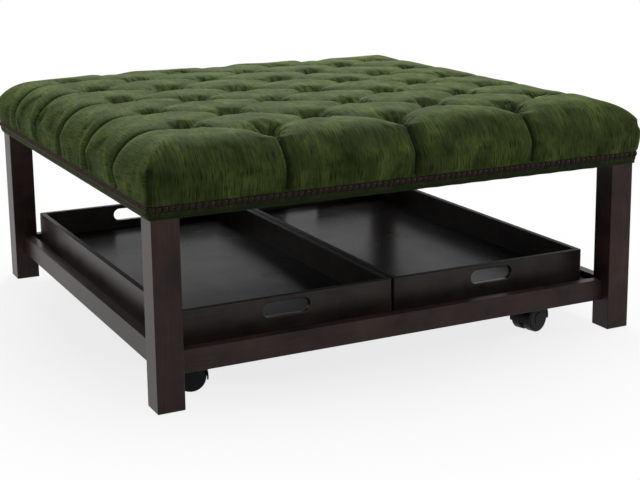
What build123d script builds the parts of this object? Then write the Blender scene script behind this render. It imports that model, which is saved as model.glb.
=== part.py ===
"""Ottoman coffee table: a tufted cushion on four legs, two lift-out trays, four hidden casters.

The origin is on the floor, in the middle of the footprint. +Z is up and -Y is the front.
All lengths are in millimetres and all angles in degrees.
"""
import math
import os

from build123d import *

os.makedirs("parts", exist_ok=True)

# Legs and lower frame
table_side = 1016.0  # over the legs' outer faces
leg_side = 50.8
leg_gap = 2.0  # the casters carry the table, so the soles clear the floor
leg_ease = 1.2
rail_inset = 22.7  # from a leg's outer face to a rail's outer face
rail_thick = 20.3
rail_bottom = 60.0
rail_height = 42.4
rail_ease = 1.0
shelf_thick = 18.0
shelf_recess = 12.4  # shelf face below the rails' top edges
cleat_height = 9.0
cleat_width = 15.0
cleat_gap = 2.0  # between one cleat's end and the next cleat
dowel_radius = 3.0
dowel_length = 44.0
dowel_spacing = 16.0
dowel_stagger = 8.0  # keeps the two rails' dowels apart inside a leg

# Upholstered frame
hem_height = 345.0
hem_overhang = 7.8  # the hem stands this far outside the legs
cover_thick = 5.8  # fabric over felt, on the aprons
hem_corner = 14.0
apron_thick = 20.0
apron_height = 60.0
deck_thick = 12.0
block_side = 60.0
block_clear = 10.0  # over the corner blocks, for the nuts
dust_cover_thick = 1.0
bolt_radius = 4.0
bolt_grip = 46.0  # length of the bolt inside the leg
nut_radius = 7.0
nut_height = 6.5

# Cushion
foam_inset = 48.8  # from the bulge of the sides
foam_thick = 31.0
side_bulge = 5.0
side_swell = 2.2
shoulder_rise = 67.0  # hem to the foot of the shoulder
shoulder_drop = 8.0  # top of the shoulder below the crown
shoulder_in = 81.0  # top of the shoulder inside the bulge
shoulder_swell = 16.0
cushion_rise = 137.0  # hem to crown

# Tufts: rows of three and rows of four alternate from the front to the back
columns = 4
rows = 5
tuft_edge_x = 133.8  # from the last tufts to the bulge of the sides
tuft_edge_y = 83.3
button_radius = 12.0
button_thick = 7.0
button_rim = 2.5
button_play = 1.0
dimple_radius = 50.0
dimple_swell = 9.0
channel_depth = 19.0
channel_width = 34.0
channel_swell = 2.4
pleat_width = 5.0
pleat_depth = 4.4
pleat_dip = 14.0  # depth of a side pleat where it turns onto the top
tie_radius = 1.0
tie_plate_radius = 9.0
tie_plate_thick = 2.0

# Trim
band_bottom = 13.5  # above the hem
band_height = 11.0
band_thick = 1.0
nail_radius = 5.2
nail_height = 2.4
nail_pitch = 12.0
corner_nails = 2

# Trays
tray_gap = 3.0  # between the two trays
tray_side_gap = 8.2  # beside the trays, to the legs
tray_front_gap = 37.0  # from the rails' inner faces
tray_back_gap = 7.0
tray_height = 64.0
tray_wall = 12.0
tray_base = 6.0
tray_base_lift = 2.0
tray_corner = 6.0
tray_ease = 1.4
tray_play = 0.3  # under the tray, at rest
handle_length = 96.0
handle_height = 27.5
handle_drop = 23.5  # handle's centre below the rim
handle_ease = 2.0

# Casters
caster_inset_x = 99.0  # from a rail's inner face to a kingpin
caster_inset_y = 52.0
caster_shift_x = -16.0  # all four sit a little to the left
wheel_radius = 28.5
wheel_width = 20.0
wheel_round = 3.0
wheel_dome = 1.2
wheel_play = 0.5
trail = 28.0
web_thick = 8.0
axle_radius = 4.0
axle_half = 20.0
running_gap = 0.05
hood_gap = 1.5
hood_wall = 2.5
hood_lip = 6.0  # the hood's edge below the axle
hub_radius = 13.0
neck_radius = 14.0
neck_height = 10.0
neck_gap = 0.3
cup_radius = 16.0
cup_height = 4.0
kingpin_radius = 5.0
kingpin_length = 5.0
plate_side = 58.0
plate_thick = 2.5
plate_corner = 6.0
screw_pitch = 42.0
screw_radius = 2.0
screw_length = 14.0
screw_head_radius = 4.0
screw_head_height = 1.8
caster_turns = {"front_left": -20.0, "front_right": 18.0, "back_left": 35.0, "back_right": -8.0}

overrun = 2.0  # how far cuts pass beyond what they cut

# Places that follow from the sizes above
leg_outer = table_side / 2
leg_inner = leg_outer - leg_side
leg_centre = leg_outer - leg_side / 2
rail_outer = leg_outer - rail_inset
rail_inner = rail_outer - rail_thick
rail_top = rail_bottom + rail_height
shelf_top = rail_top - shelf_recess
shelf_bottom = shelf_top - shelf_thick
hem_half = leg_outer + hem_overhang
bulge_half = hem_half + side_bulge
foam_half = bulge_half - foam_inset
tuft_pitch_x = 2 * (bulge_half - tuft_edge_x) / (columns - 1)
tuft_pitch_y = 2 * (bulge_half - tuft_edge_y) / rows
apron_half = hem_half - cover_thick
deck_bottom = hem_height + apron_height
deck_top = deck_bottom + deck_thick
foam_top = deck_top + foam_thick
crown_height = hem_height + cushion_rise
block_inner = apron_half - apron_thick - block_side
block_height = apron_height - block_clear
cut_top = crown_height + overrun
tray_width = leg_inner - tray_side_gap - tray_gap / 2
tray_depth = 2 * rail_inner - tray_front_gap - tray_back_gap
tray_set_back = (tray_front_gap - tray_back_gap) / 2
axle_height = wheel_radius
plate_bottom = shelf_bottom - plate_thick
cup_bottom = plate_bottom - cup_height

corners = {"front_left": (-1, -1), "front_right": (1, -1), "back_left": (-1, 1), "back_right": (1, 1)}
sides = {"front": (0, -1), "back": (0, 1), "left": (-1, 0), "right": (1, 0)}


def side_plane(side, distance, height, along=0):
    """Level plane on one side of the table: its x runs along the side and its y points inwards."""
    nx, ny = sides[side]
    origin = (nx * distance - ny * along, ny * distance + nx * along, height)
    return Plane(origin=origin, x_dir=(-ny, nx, 0), z_dir=(0, 0, 1))


def dowel_planes(side):
    """Planes square to one rail's dowels, where the rail's ends meet the legs."""
    first = rail_bottom + rail_height / 2 - dowel_spacing / 2 - dowel_stagger / 2
    if side in ("left", "right"):
        first += dowel_stagger
    planes = []
    for end in (-leg_inner, leg_inner):
        for step in range(2):
            height = first + step * dowel_spacing
            level = side_plane(side, rail_outer - rail_thick / 2, height, end)
            planes.append(Plane(origin=level.origin, x_dir=level.y_dir, z_dir=level.x_dir))
    return planes


def drill_dowels(planes, mode=Mode.SUBTRACT):
    for plane in planes:
        with BuildSketch(plane) as hole:
            Circle(dowel_radius)
        extrude(hole.sketch, amount=dowel_length / 2, both=True, mode=mode)


def corner_columns(radius, reach, bottom, height, mode=Mode.ADD):
    """Four equal upright columns, one near each corner."""
    with BuildSketch(Plane.XY.offset(bottom)) as circles:
        with GridLocations(2 * reach, 2 * reach, 2, 2):
            Circle(radius)
    extrude(circles.sketch, amount=height, mode=mode)


# Legs
bolt_bottom = hem_height - bolt_grip
for name, (cx, cy) in corners.items():
    along_x = "front" if cy < 0 else "back"
    along_y = "left" if cx < 0 else "right"
    with BuildPart() as leg:
        with BuildSketch(Plane.XY.offset(leg_gap)):
            with Locations((cx * leg_centre, cy * leg_centre)):
                Rectangle(leg_side, leg_side)
        extrude(amount=hem_height - leg_gap)
        fillet(leg.edges().filter_by(Axis.Z), leg_ease)
        chamfer(leg.faces().sort_by(Axis.Z)[0].edges(), leg_ease)
        for side in (along_x, along_y):
            drill_dowels(dowel_planes(side))
        corner_columns(bolt_radius, leg_centre, bolt_bottom, bolt_grip, Mode.SUBTRACT)
    leg.part.label = f"leg_{name}"
    export_step(leg.part, f"parts/leg_{name}.step")

# Lower rails and their dowels
for side in sides:
    with BuildPart() as rail:
        with BuildSketch(side_plane(side, rail_outer - rail_thick / 2, rail_bottom)):
            Rectangle(2 * leg_inner, rail_thick)
        extrude(amount=rail_height)
        lengthwise = Axis.X if side in ("front", "back") else Axis.Y
        fillet(rail.edges().filter_by(lengthwise), rail_ease)
        drill_dowels(dowel_planes(side))
    rail.part.label = f"rail_{side}"
    export_step(rail.part, f"parts/rail_{side}.step")

with BuildPart() as rail_dowels:
    for side in sides:
        drill_dowels(dowel_planes(side), Mode.ADD)
rail_dowels.part.label = "rail_dowels"
export_step(rail_dowels.part, "parts/rail_dowels.step")

# Places of the casters
caster_places = {}
for name, (cx, cy) in corners.items():
    centre = (caster_shift_x + cx * (rail_inner - caster_inset_x), cy * (rail_inner - caster_inset_y), 0)
    turn = math.radians(caster_turns[name])
    caster_places[name] = Plane(origin=centre, x_dir=(math.cos(turn), math.sin(turn), 0), z_dir=(0, 0, 1))


def screw_spots(place, height):
    """The four screws of one caster plate, square to the table whatever the caster's turn."""
    centre = place.origin
    spots = []
    for sx in (-1, 1):
        for sy in (-1, 1):
            spots.append((centre.X + sx * screw_pitch / 2, centre.Y + sy * screw_pitch / 2, height))
    return spots


# Shelf, with a notch round each leg and pilot holes for the caster screws
with BuildPart() as shelf_panel:
    with BuildSketch(Plane.XY.offset(shelf_bottom)):
        Rectangle(2 * rail_inner, 2 * rail_inner)
        with GridLocations(2 * leg_centre, 2 * leg_centre, 2, 2):
            Rectangle(leg_side, leg_side, mode=Mode.SUBTRACT)
    extrude(amount=shelf_thick)
    for place in caster_places.values():
        with Locations(*screw_spots(place, shelf_bottom)):
            Cylinder(screw_radius, screw_length - plate_thick, mode=Mode.SUBTRACT,
                     align=(Align.CENTER, Align.CENTER, Align.MIN))
shelf_panel.part.label = "shelf_panel"
export_step(shelf_panel.part, "parts/shelf_panel.step")

with BuildPart() as shelf_cleats:
    for side in sides:
        length = 2 * leg_inner if side in ("front", "back") else 2 * (rail_inner - cleat_width - cleat_gap)
        with BuildSketch(side_plane(side, rail_inner - cleat_width / 2, shelf_bottom - cleat_height)):
            Rectangle(length, cleat_width)
        extrude(amount=cleat_height)
shelf_cleats.part.label = "shelf_cleats"
export_step(shelf_cleats.part, "parts/shelf_cleats.step")

# Aprons of the upholstered frame
for side in sides:
    length = 2 * apron_half if side in ("front", "back") else 2 * (apron_half - apron_thick)
    with BuildPart() as apron:
        with BuildSketch(side_plane(side, apron_half - apron_thick / 2, hem_height)):
            Rectangle(length, apron_thick)
        extrude(amount=apron_height)
    apron.part.label = f"apron_{side}"
    export_step(apron.part, f"parts/apron_{side}.step")

block_middle = block_inner + block_side / 2
with BuildPart() as corner_blocks:
    with BuildSketch(Plane.XY.offset(hem_height)):
        with GridLocations(2 * block_middle, 2 * block_middle, 2, 2):
            Rectangle(block_side, block_side)
    extrude(amount=block_height)
    corner_columns(bolt_radius, leg_centre, hem_height, block_height, Mode.SUBTRACT)
corner_blocks.part.label = "corner_blocks"
export_step(corner_blocks.part, "parts/corner_blocks.step")

block_top = hem_height + block_height
with BuildPart() as leg_bolts:
    corner_columns(bolt_radius, leg_centre, bolt_bottom, bolt_grip + block_height + nut_height)
leg_bolts.part.label = "leg_bolts"
export_step(leg_bolts.part, "parts/leg_bolts.step")

with BuildPart() as leg_nuts:
    with BuildSketch(Plane.XY.offset(block_top)):
        with GridLocations(2 * leg_centre, 2 * leg_centre, 2, 2):
            RegularPolygon(nut_radius, 6)
            Circle(bolt_radius, mode=Mode.SUBTRACT)
    extrude(amount=nut_height)
leg_nuts.part.label = "leg_nuts"
export_step(leg_nuts.part, "parts/leg_nuts.step")

# Tufts: every second crossing of a grid, left out where it would leave the top
tufts = []
for column in range(1 - columns, columns):
    for row in range(-rows, rows + 1):
        if (column + row + columns + rows) % 2 == 0:
            tufts.append((column * tuft_pitch_x / 2, row * tuft_pitch_y / 2))
tuft_reach_x = (columns - 1) * tuft_pitch_x / 2
tuft_reach_y = rows * tuft_pitch_y / 2


def outward_plane(side, along):
    """Upright plane square to one side: its x points outwards and its y points up."""
    nx, ny = sides[side]
    return Plane(origin=(-ny * along, nx * along, 0), x_dir=(nx, ny, 0), z_dir=(ny, -nx, 0))


band_top = hem_height + band_bottom + band_height


def cushion_outline(side_inset=0, top_inset=0, mode=Mode.ADD):
    """Section of the cushion: straight hem, bulging side, round shoulder and shallow crown."""
    hem = hem_half - side_inset
    bulge = bulge_half - side_inset
    foot = hem_height + shoulder_rise - top_inset
    top = crown_height - shoulder_drop - top_inset
    with BuildLine() as outline:
        Polyline((-hem, band_top), (-hem, hem_height), (hem, hem_height), (hem, band_top))
        SagittaArc((hem, band_top), (bulge, foot), -side_swell)
        SagittaArc((bulge, foot), (bulge - shoulder_in, top), -shoulder_swell)
        SagittaArc((bulge - shoulder_in, top), (shoulder_in - bulge, top), -shoulder_drop)
        SagittaArc((shoulder_in - bulge, top), (-bulge, foot), -shoulder_swell)
        SagittaArc((-bulge, foot), (-hem, band_top), -side_swell)
    make_face(outline.edges(), mode=mode)


def dome_radius(half, height):
    """Radius of the ball that a low dome is cut from."""
    return (half**2 + height**2) / (2 * height)


# Covered tuft buttons, on the foam at the bottom of the dimples
button_ball = dome_radius(button_radius, button_thick - button_rim)
with BuildPart() as tuft_button:
    with BuildSketch(Plane.XZ):
        with BuildLine():
            Polyline((0, foam_top + button_thick), (0, foam_top), (button_radius, foam_top))
            Line((button_radius, foam_top), (button_radius, foam_top + button_rim))
            RadiusArc((button_radius, foam_top + button_rim), (0, foam_top + button_thick), -button_ball)
        make_face()
    revolve(axis=Axis.Z)

with BuildPart() as tuft_buttons:
    with Locations(*tufts):
        add(tuft_button.part)
tuft_buttons.part.label = "tuft_buttons"
export_step(tuft_buttons.part, "parts/tuft_buttons.step")

# Ties from the buttons through the foam and the deck to plates under the deck
with BuildPart() as tuft_ties:
    with BuildSketch(Plane.XY.offset(deck_bottom - tie_plate_thick)):
        with Locations(*tufts):
            Circle(tie_plate_radius)
    extrude(amount=tie_plate_thick)
    with BuildSketch(Plane.XY.offset(deck_bottom)):
        with Locations(*tufts):
            Circle(tie_radius)
    extrude(amount=foam_top - deck_bottom)
tuft_ties.part.label = "tuft_ties"
export_step(tuft_ties.part, "parts/tuft_ties.step")


def pierced_slab(half, bottom, thick):
    """Square slab with a hole for every tie."""
    with BuildSketch(Plane.XY.offset(bottom)) as slab:
        Rectangle(2 * half, 2 * half)
        with Locations(*tufts):
            Circle(tie_radius, mode=Mode.SUBTRACT)
    extrude(slab.sketch, amount=thick)


with BuildPart() as deck_panel:
    pierced_slab(apron_half, deck_bottom, deck_thick)
deck_panel.part.label = "deck_panel"
export_step(deck_panel.part, "parts/deck_panel.step")

with BuildPart() as foam_core:
    pierced_slab(foam_half, deck_top, foam_thick)
foam_core.part.label = "foam_core"
export_step(foam_core.part, "parts/foam_core.step")

# One dimple: the pillows round it curve down to the button
with BuildPart() as dimple:
    with BuildSketch(Plane.XZ):
        low = (button_radius + button_play, foam_top)
        high = (dimple_radius, cut_top)
        with BuildLine():
            Polyline(high, (0, cut_top), (0, foam_top - overrun), (low[0], foam_top - overrun), low)
            SagittaArc(low, high, dimple_swell)
        make_face()
    revolve(axis=Axis.Z)

# Tufts in straight lines across the diamonds, as the channels run
channels = {}
for slant in (1, -1):
    for x, y in tufts:
        line = round(x / (tuft_pitch_x / 2)) - slant * round(y / (tuft_pitch_y / 2))
        channels.setdefault((slant, line), []).append(Vector(x, y, cut_top))

# The cushion's plan: square with rounded corners, a little wider above the band
with BuildPart() as plan:
    with BuildSketch(Plane.XY.offset(hem_height)):
        RectangleRounded(2 * hem_half, 2 * hem_half, hem_corner)
    extrude(amount=band_top - hem_height)
    with BuildSketch(Plane.XY.offset(band_top)):
        RectangleRounded(2 * bulge_half + side_swell, 2 * bulge_half + side_swell, hem_corner)
    extrude(amount=cut_top - band_top)

# Tufted cover with its wadding: crown, bulging sides, channels, side pleats and dimples
with BuildPart() as tufted_cover:
    with BuildSketch(Plane.XZ):
        cushion_outline()
    extrude(amount=bulge_half + overrun, both=True)
    with BuildSketch(Plane.YZ):
        cushion_outline()
    extrude(amount=bulge_half + overrun, both=True, mode=Mode.INTERSECT)
    add(plan.part, mode=Mode.INTERSECT)
    for line in channels.values():
        run = line[-1] - line[0]
        across = Plane(origin=line[0], x_dir=(-run.Y, run.X, 0), z_dir=run)
        floor = (0, crown_height - channel_depth - cut_top)
        with BuildSketch(across):
            with BuildLine():
                Line((-channel_width / 2, 0), (channel_width / 2, 0))
                SagittaArc((channel_width / 2, 0), floor, channel_swell)
                SagittaArc(floor, (-channel_width / 2, 0), channel_swell)
            make_face()
        extrude(amount=run.length, mode=Mode.SUBTRACT)
    for side in sides:
        if side in ("front", "back"):
            reach, places = tuft_reach_y, [x for x, y in tufts if y == tuft_reach_y]
        else:
            reach, places = tuft_reach_x, [y for x, y in tufts if x == tuft_reach_x]
        for along in places:
            with BuildSketch(outward_plane(side, along)):
                with Locations((reach, band_top)):
                    Rectangle(bulge_half - reach + overrun, cut_top - band_top, align=(Align.MIN, Align.MIN))
                cushion_outline(pleat_depth, pleat_dip, Mode.SUBTRACT)
            extrude(amount=pleat_width / 2, both=True, mode=Mode.SUBTRACT)
    with Locations(*tufts):
        add(dimple.part, mode=Mode.SUBTRACT)
    with BuildSketch(Plane.XY.offset(hem_height)):
        Rectangle(2 * apron_half, 2 * apron_half)
    extrude(amount=deck_top - hem_height, mode=Mode.SUBTRACT)
    with BuildSketch(Plane.XY.offset(deck_top)):
        Rectangle(2 * foam_half, 2 * foam_half)
    extrude(amount=foam_thick, mode=Mode.SUBTRACT)
tufted_cover.part.label = "tufted_cover"
export_step(tufted_cover.part, "parts/tufted_cover.step")

# Dust cover under the upholstered frame, cut round the legs
with BuildPart() as dust_cover:
    with BuildSketch(Plane.XY.offset(hem_height - dust_cover_thick)):
        Rectangle(2 * leg_outer, 2 * leg_outer)
        with GridLocations(2 * leg_centre, 2 * leg_centre, 2, 2):
            Rectangle(leg_side, leg_side, mode=Mode.SUBTRACT)
    extrude(amount=dust_cover_thick)
dust_cover.part.label = "dust_cover"
export_step(dust_cover.part, "parts/dust_cover.step")

# Dark band round the hem
band_half = hem_half + band_thick
with BuildPart() as trim_band:
    with BuildSketch(Plane.XY.offset(hem_height + band_bottom)):
        RectangleRounded(2 * band_half, 2 * band_half, hem_corner + band_thick)
        RectangleRounded(2 * hem_half, 2 * hem_half, hem_corner, mode=Mode.SUBTRACT)
    extrude(amount=band_height)
trim_band.part.label = "trim_band"
export_step(trim_band.part, "parts/trim_band.step")

# Nailheads along the middle of the band
with BuildPart() as nail:
    with BuildSketch(Plane.XZ):
        with BuildLine():
            Polyline((0, nail_height), (0, 0), (nail_radius, 0))
            RadiusArc((nail_radius, 0), (0, nail_height), -dome_radius(nail_radius, nail_height))
        make_face()
    revolve(axis=Axis.Z)

nail_row = hem_height + band_bottom + band_height / 2
straight = 2 * (hem_half - hem_corner)
nails_per_side = round(straight / nail_pitch)
nail_places = []
for side, (nx, ny) in sides.items():
    for index in range(nails_per_side):
        along = (index + 1 / 2) * straight / nails_per_side - straight / 2
        place = (nx * band_half - ny * along, ny * band_half + nx * along, nail_row)
        nail_places.append(Plane(origin=place, z_dir=(nx, ny, 0)))
for cx, cy in corners.values():
    for index in range(corner_nails):
        turn = math.radians(90 * (index + 1 / 2) / corner_nails)
        nx, ny = cx * math.cos(turn), cy * math.sin(turn)
        middle = hem_half - hem_corner
        reach = hem_corner + band_thick
        place = (cx * middle + nx * reach, cy * middle + ny * reach, nail_row)
        nail_places.append(Plane(origin=place, z_dir=(nx, ny, 0)))
nailheads = Compound([nail.part.solid().moved(place.location) for place in nail_places])
nailheads.label = "nailheads"
export_step(nailheads, "parts/nailheads.step")

# Trays: front and back walls with handles, side walls between them, base inside the walls
tray_bottom = shelf_top + tray_play
tray_middles = {"left": -(tray_width + tray_gap) / 2, "right": (tray_width + tray_gap) / 2}
for name, middle in tray_middles.items():
    for end, cy in (("front", -1), ("back", 1)):
        face = tray_set_back + cy * tray_depth / 2
        with BuildPart() as wall:
            with BuildSketch(Plane(origin=(middle, face, tray_bottom), x_dir=(1, 0, 0), z_dir=(0, -1, 0))):
                with Locations((0, tray_height / 2)):
                    Rectangle(tray_width, tray_height)
                with Locations((0, tray_height - handle_drop)):
                    SlotOverall(handle_length, handle_height, mode=Mode.SUBTRACT)
            extrude(amount=cy * tray_wall)
            uprights = wall.edges().filter_by(Axis.Z).group_by(Axis.Y)
            fillet(uprights[0] if cy < 0 else uprights[-1], tray_corner)
            fillet(wall.faces().sort_by(Axis.Z)[-1].edges(), tray_ease)
            arcs = wall.edges().filter_by(GeomType.CIRCLE)
            fillet(arcs.filter_by(lambda edge: edge.radius > tray_corner), handle_ease)
        wall.part.label = f"tray_{name}_{end}_wall"
        export_step(wall.part, f"parts/tray_{name}_{end}_wall.step")
    for end, cx in (("left", -1), ("right", 1)):
        with BuildPart() as wall:
            with BuildSketch(Plane.XY.offset(tray_bottom)):
                with Locations((middle + cx * (tray_width - tray_wall) / 2, tray_set_back)):
                    Rectangle(tray_wall, tray_depth - 2 * tray_wall)
            extrude(amount=tray_height)
            fillet(wall.edges().filter_by(Axis.Y).group_by(Axis.Z)[-1], tray_ease)
        wall.part.label = f"tray_{name}_{end}_wall"
        export_step(wall.part, f"parts/tray_{name}_{end}_wall.step")
    with BuildPart() as base:
        with BuildSketch(Plane.XY.offset(tray_bottom + tray_base_lift)):
            with Locations((middle, tray_set_back)):
                Rectangle(tray_width - 2 * tray_wall, tray_depth - 2 * tray_wall)
        extrude(amount=tray_base)
    base.part.label = f"tray_{name}_base"
    export_step(base.part, f"parts/tray_{name}_base.step")

# Caster plates under the shelf, each with the cup that its kingpin turns in
with BuildPart() as caster_plates:
    for place in caster_places.values():
        x, y = place.origin.X, place.origin.Y
        with BuildSketch(Plane.XY.offset(plate_bottom)):
            with Locations((x, y)):
                RectangleRounded(plate_side, plate_side, plate_corner)
        extrude(amount=plate_thick)
        with BuildSketch(Plane.XY.offset(cup_bottom)):
            with Locations((x, y)):
                Circle(cup_radius)
        extrude(amount=cup_height)
        with BuildSketch(Plane.XY.offset(cup_bottom)):
            with Locations((x, y)):
                Circle(kingpin_radius + running_gap)
        extrude(amount=kingpin_length + neck_gap, mode=Mode.SUBTRACT)
        with BuildSketch(Plane.XY.offset(plate_bottom)):
            with Locations(*screw_spots(place, 0)):
                Circle(screw_radius)
        extrude(amount=plate_thick, mode=Mode.SUBTRACT)
caster_plates.part.label = "caster_plates"
export_step(caster_plates.part, "parts/caster_plates.step")

with BuildPart() as caster_screws:
    for place in caster_places.values():
        with BuildSketch(Plane.XY.offset(plate_bottom)):
            with Locations(*screw_spots(place, 0)):
                Circle(screw_radius)
        extrude(amount=screw_length)
        with BuildSketch(Plane.XY.offset(plate_bottom - screw_head_height)):
            with Locations(*screw_spots(place, 0)):
                Circle(screw_head_radius)
        extrude(amount=screw_head_height)
caster_screws.part.label = "caster_screws"
export_step(caster_screws.part, "parts/caster_screws.step")

# Casters: a hooded housing that turns on its kingpin, an axle and two wheels
hood_radius = wheel_radius + hood_gap + hood_wall
wheel_in = web_thick / 2 + wheel_play
wheel_out = wheel_in + wheel_width
for name, place in caster_places.items():
    axle_spot = place.from_local_coords(Vector(-trail, 0, axle_height))
    axle_plane = Plane(origin=axle_spot, x_dir=place.x_dir, z_dir=-place.y_dir)
    axle_line = Axis(axle_spot, place.y_dir)

    with BuildPart() as housing:
        with BuildSketch(axle_plane):
            Circle(hood_radius)
            with Locations((0, -hood_lip)):
                Rectangle(2 * hood_radius, hood_radius, align=(Align.CENTER, Align.MAX), mode=Mode.SUBTRACT)
        extrude(amount=wheel_out, both=True)
        with BuildSketch(place.offset(cup_bottom - neck_gap - neck_height)):
            Circle(neck_radius)
        extrude(amount=neck_height)
        for facing in (1, -1):
            with BuildSketch(axle_plane.offset(facing * web_thick / 2)):
                Circle(wheel_radius + hood_gap)
            extrude(amount=facing * (wheel_out + overrun), mode=Mode.SUBTRACT)
        with BuildSketch(axle_plane):
            Circle(hub_radius)
        extrude(amount=web_thick / 2, both=True)
        with BuildSketch(place.offset(cup_bottom - neck_gap)):
            Circle(kingpin_radius)
        extrude(amount=kingpin_length)
        with BuildSketch(axle_plane):
            Circle(axle_radius)
        extrude(amount=web_thick, both=True, mode=Mode.SUBTRACT)
    housing.part.label = f"caster_{name}_housing"
    export_step(housing.part, f"parts/caster_{name}_housing.step")

    with BuildPart() as axle:
        with BuildSketch(axle_plane):
            Circle(axle_radius)
        extrude(amount=axle_half, both=True)
    axle.part.label = f"caster_{name}_axle"
    export_step(axle.part, f"parts/caster_{name}_axle.step")

    bore = axle_radius + running_gap
    for label, facing in (("front", -1), ("back", 1)):
        half_plane = Plane(origin=axle_spot, x_dir=facing * place.y_dir, z_dir=facing * place.x_dir)
        with BuildPart() as wheel:
            with BuildSketch(half_plane):
                with BuildLine():
                    Polyline((wheel_out + wheel_dome, 0), (axle_half + wheel_play, 0),
                             (axle_half + wheel_play, bore), (wheel_in, bore), (wheel_in, wheel_radius),
                             (wheel_out, wheel_radius), (wheel_out, hub_radius),
                             (wheel_out + wheel_dome, hub_radius - wheel_dome), (wheel_out + wheel_dome, 0))
                make_face()
                treads = faces().vertices().group_by(Axis.Y)[-1]
                fillet(treads, wheel_round)
            revolve(axis=axle_line)
        wheel.part.label = f"caster_{name}_{label}_wheel"
        export_step(wheel.part, f"parts/caster_{name}_{label}_wheel.step")
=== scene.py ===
"""Dresses the tufted ottoman coffee table: velvet cushion, stained wood, trays, casters, camera and light."""
import math

import bpy
from mathutils import Matrix, Vector, kdtree, noise


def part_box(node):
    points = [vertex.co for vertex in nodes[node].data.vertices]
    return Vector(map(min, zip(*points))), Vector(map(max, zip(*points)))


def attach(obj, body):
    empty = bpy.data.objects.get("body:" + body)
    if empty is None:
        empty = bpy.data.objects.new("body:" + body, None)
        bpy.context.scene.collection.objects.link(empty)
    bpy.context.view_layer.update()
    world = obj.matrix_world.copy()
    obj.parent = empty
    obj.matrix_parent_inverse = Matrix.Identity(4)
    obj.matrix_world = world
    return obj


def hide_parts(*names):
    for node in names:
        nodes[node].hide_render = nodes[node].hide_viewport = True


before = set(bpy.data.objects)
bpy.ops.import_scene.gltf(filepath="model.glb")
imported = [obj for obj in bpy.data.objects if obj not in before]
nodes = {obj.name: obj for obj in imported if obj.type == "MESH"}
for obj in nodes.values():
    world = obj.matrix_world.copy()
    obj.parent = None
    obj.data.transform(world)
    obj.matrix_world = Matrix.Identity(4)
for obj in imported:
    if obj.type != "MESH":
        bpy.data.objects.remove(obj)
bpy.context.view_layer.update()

scene = bpy.context.scene
scene.view_settings.view_transform = "Standard"
bpy.ops.object.select_all(action="DESELECT")


# Camera, matched to the photograph

cam_data = bpy.data.cameras.new("camera")
camera = bpy.data.objects.new("camera", cam_data)
scene.collection.objects.link(camera)
scene.camera = camera
cam_data.lens = 75.2
cam_data.sensor_width = 36.0
cam_data.shift_x = -0.064
cam_data.shift_y = -0.10
cam_data.clip_end = 60.0
yaw, pitch, roll = math.radians(28.01), math.radians(11.65), math.radians(0.33)
turn = Matrix.Rotation(-yaw, 4, "Z") @ Matrix.Rotation(math.radians(90) - pitch, 4, "X")
turn = turn @ Matrix.Rotation(-roll, 4, "Z")
camera.matrix_world = Matrix.Translation((-1.214, -2.581, 0.865)) @ turn


# Sizes of the frame that the covers and finishes follow

def box_of(name):
    """Lowest and highest corners of a node, to a tenth of a millimetre."""
    return [[round(c, 4) for c in corner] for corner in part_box(name)]


BAND_LOW, BAND_HIGH = [corner[2] for corner in box_of("trim_band")]
HEM_Z = box_of("tufted_cover")[0][2]
APRON = box_of("apron_front")[1][0]
DECK_TOP = box_of("deck_panel")[1][2]
FOAM, _, FOAM_TOP = box_of("foam_core")[1]
LEG_IN = box_of("leg_front_right")[0][0]
RIM_Z = box_of("tray_left_front_wall")[1][2]
# half the pitch of the buttons, which stand in diamonds, and the last column and row from the middle
TUFT_X, TUFT_Y = 0.129, 0.0875
LAST_X, LAST_Y = 3, 5


# Small helpers for the materials

def tone(code, alpha=1.0):
    """sRGB hex to linear RGBA."""
    out = []
    for i in (0, 2, 4):
        c = int(code[i:i + 2], 16) / 255
        out.append(c / 12.92 if c <= 0.04045 else ((c + 0.055) / 1.055) ** 2.4)
    return (*out, alpha)


def new_material(name):
    mat = bpy.data.materials.new(name)
    mat.use_nodes = True
    tree = mat.node_tree
    shader = tree.nodes["Principled BSDF"]
    return mat, tree, shader


def node(tree, kind, links=(), stops=(), **settings):
    """Adds one node with its settings and links.

    links are pairs of an output and the input it goes to. stops are a colour ramp's places and colours.
    settings are the node's properties or, with a leading i_, its inputs by name or number.
    """
    made = tree.nodes.new(kind)
    if stops:
        elements = made.color_ramp.elements
        while len(elements) < len(stops):
            elements.new(0.5)
        for element, (position, colour) in zip(elements, stops):
            element.position, element.color = position, colour
    # properties come first, because some of them change the inputs
    for key, value in settings.items():
        if not key.startswith("i_"):
            setattr(made, key, value)
    for key, value in settings.items():
        if key.startswith("i_"):
            name = key[2:]
            made.inputs[int(name) if name.isdigit() else name.replace("_", " ")].default_value = value
    for source, target in links:
        tree.links.new(source, made.inputs[target])
    return made


def grey(value):
    return (value, value, value, 1.0)


# Slub velvet, woven pile: thin dark slubs run from front to back, and the nap shades in patches

# distances from a button where its creases begin, are full, begin to fade and end
CREASE_START, CREASE_FULL, CREASE_FADE, CREASE_END = 0.008, 0.014, 0.026, 0.044
# the noise that draws the creases: how fast it changes round a button and away from it, and how near to its
# middle value a crease lies
CREASE_ROUND, CREASE_ALONG, CREASE_THIN = 1.5, 14.0, 0.045
# how far the creases go past the last buttons, as a share of the pitch
CREASE_PAST = 0.245


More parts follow.
